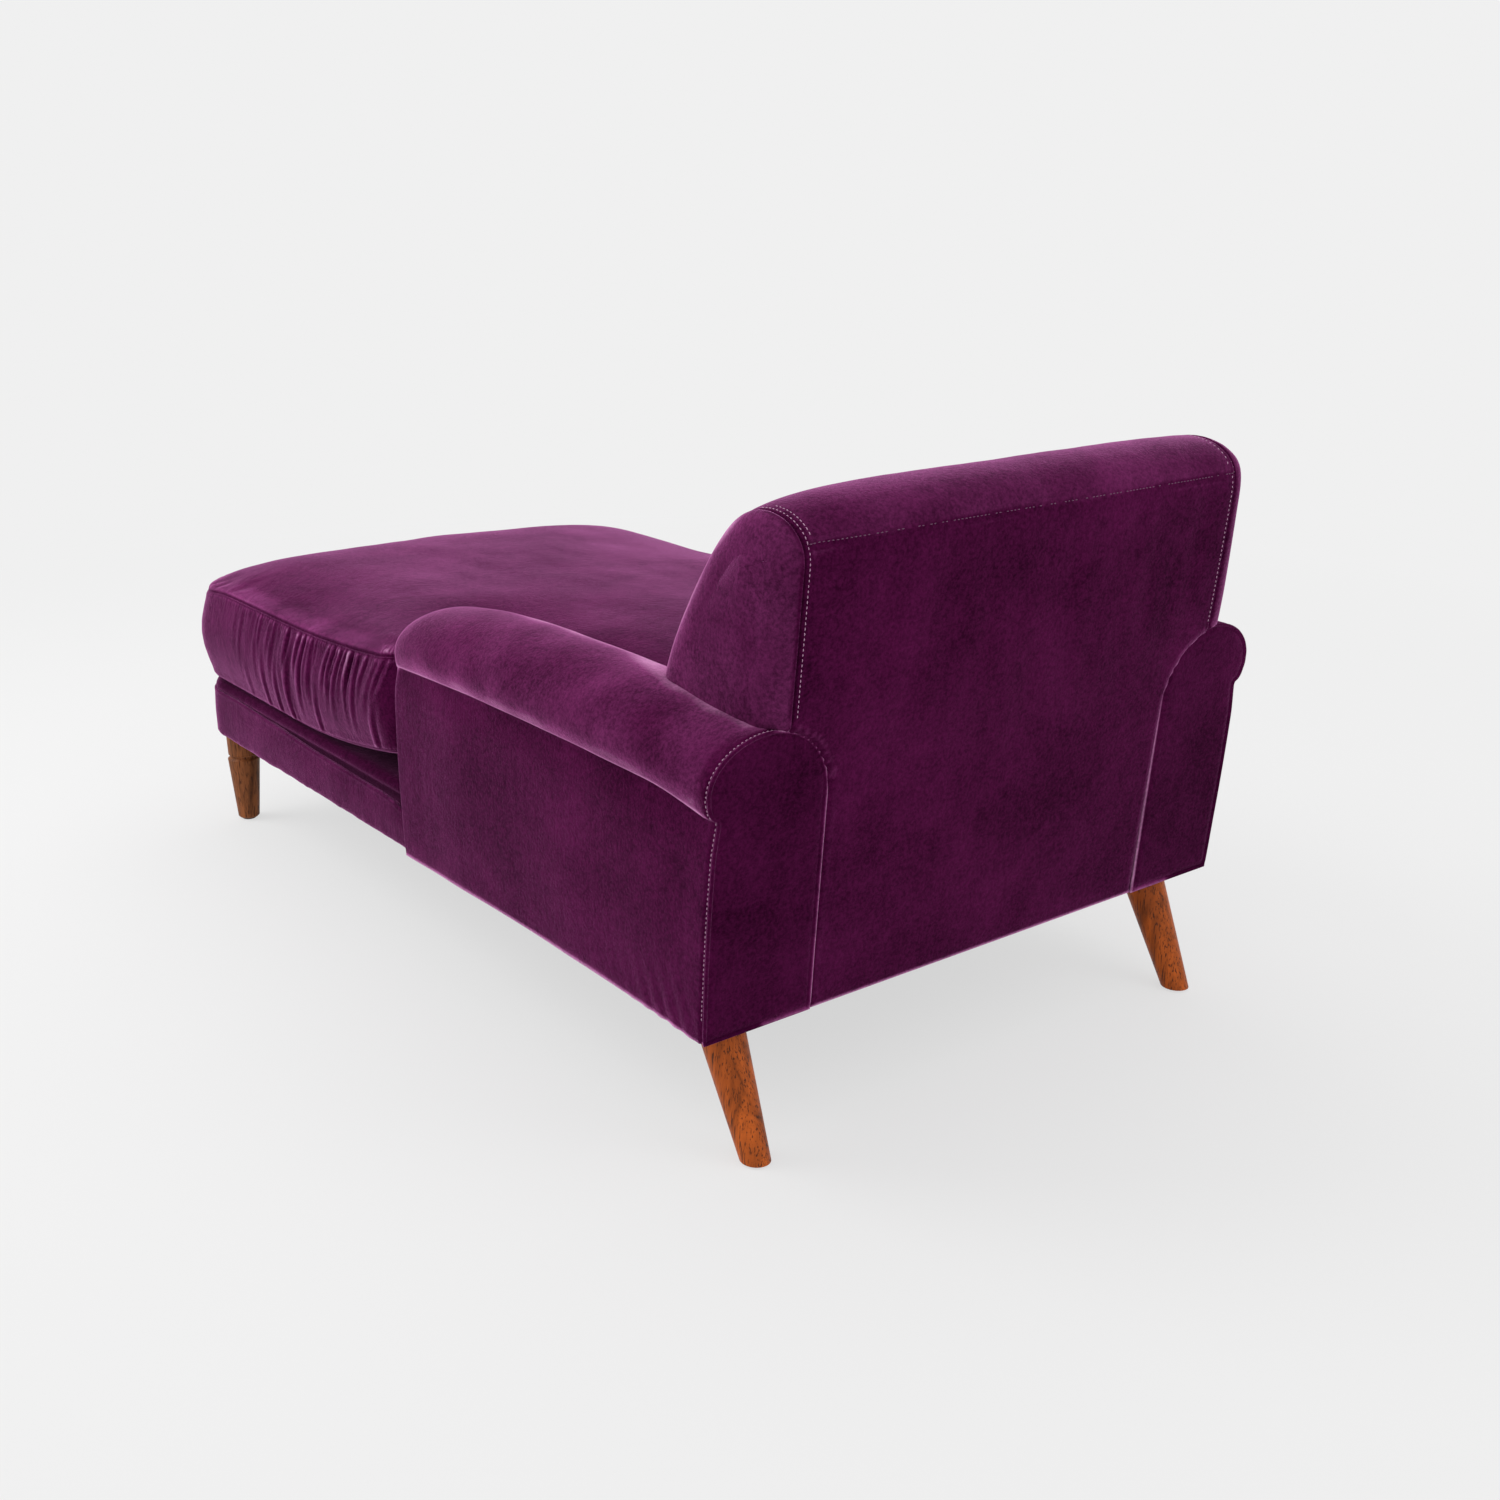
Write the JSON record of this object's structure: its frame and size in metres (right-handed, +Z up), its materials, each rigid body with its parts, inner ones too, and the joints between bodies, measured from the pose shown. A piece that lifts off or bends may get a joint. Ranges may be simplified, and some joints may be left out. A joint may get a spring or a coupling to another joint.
{
  "type": "chaise longue",
  "caption": "Velvet chaise longue with a low rounded backrest, rolled arms and a long loose T-shaped seat cushion on a sprung base with turned front and raked rear wooden legs.",
  "frame": {"origin": "on the floor, under the middle of the whole piece in plan", "axes": "+Z up, +X to the sitter's left, +Y towards the backrest, so the foot end is at -Y"},
  "size_m": [0.9742, 1.6583, 0.8261],
  "materials": {
    "velvet": "deep plum velvet with a short pile, matt in the shade with a pale sheen at grazing angles",
    "leg_wood": "satin oiled hardwood, warm brown with darker grain flecks",
    "frame_timber": "sawn and planed softwood and plywood, bare",
    "hardboard": "thin pressed board, bare",
    "foam": "upholstery foam wrapped in fibre",
    "lining_cloth": "black spun lining cloth",
    "webbing": "woven elastic webbing",
    "zip_tape": "zip tape and coil dyed to match the velvet",
    "zinc_steel": "zinc-plated steel",
    "glide_plastic": "dark moulded plastic"
  },
  "bodies": {
    "frame": {"arm_cover_left": "velvet", "arm_cover_right": "velvet", "arm_front_board_left": "frame_timber", "arm_front_board_right": "frame_timber", "arm_front_facing_left": "velvet", "arm_front_facing_right": "velvet", "arm_inner_panel_left": "hardboard", "arm_inner_panel_right": "hardboard", "arm_outer_panel_left": "hardboard", "arm_outer_panel_right": "hardboard", "arm_pad_left": "foam", "arm_pad_right": "foam", "arm_rear_board_left": "frame_timber", "arm_rear_board_right": "frame_timber", "arm_rear_facing_left": "velvet", "arm_rear_facing_right": "velvet", "arm_top_rail_left": "frame_timber", "arm_top_rail_right": "frame_timber", "back_front_cover": "velvet", "back_gusset_left": "velvet", "back_gusset_right": "velvet", "back_lower_rail": "frame_timber", "back_pad": "foam", "back_post_left": "frame_timber", "back_post_right": "frame_timber", "back_rear_cover": "velvet", "back_top_rail": "frame_timber", "back_webbing": "webbing", "base_band_cover": "velvet", "base_band_padding": "foam", "base_cross_rails": "frame_timber", "base_rail_foot": "frame_timber", "base_rail_left": "frame_timber", "base_rail_rear": "frame_timber", "base_rail_right": "frame_timber", "corner_blocks_foot": "frame_timber", "corner_blocks_rear": "frame_timber", "deck_cover": "velvet", "deck_pad": "foam", "dust_cover": "lining_cloth", "front_leg_left": "leg_wood", "front_leg_right": "leg_wood", "leg_bolts": "zinc_steel", "leg_glides": "glide_plastic", "leg_inserts": "zinc_steel", "rear_leg_left": "leg_wood", "rear_leg_right": "leg_wood", "rear_rail_padding": "foam", "spring_clips": "zinc_steel", "spring_cover_cloth": "lining_cloth", "zigzag_springs": "zinc_steel"},
    "seat_cushion": {"cushion_bottom_panel": "velvet", "cushion_boxing": "velvet", "cushion_core_foot": "foam", "cushion_core_seat": "foam", "cushion_top_panel": "velvet", "cushion_zip": "zip_tape"}
  },
  "joints": [
    {"name": "cushion_lift", "type": "slide", "parent": "frame", "child": "seat_cushion", "axis": [0, 0, 1], "range_m": [0, 0.25]}
  ]
}
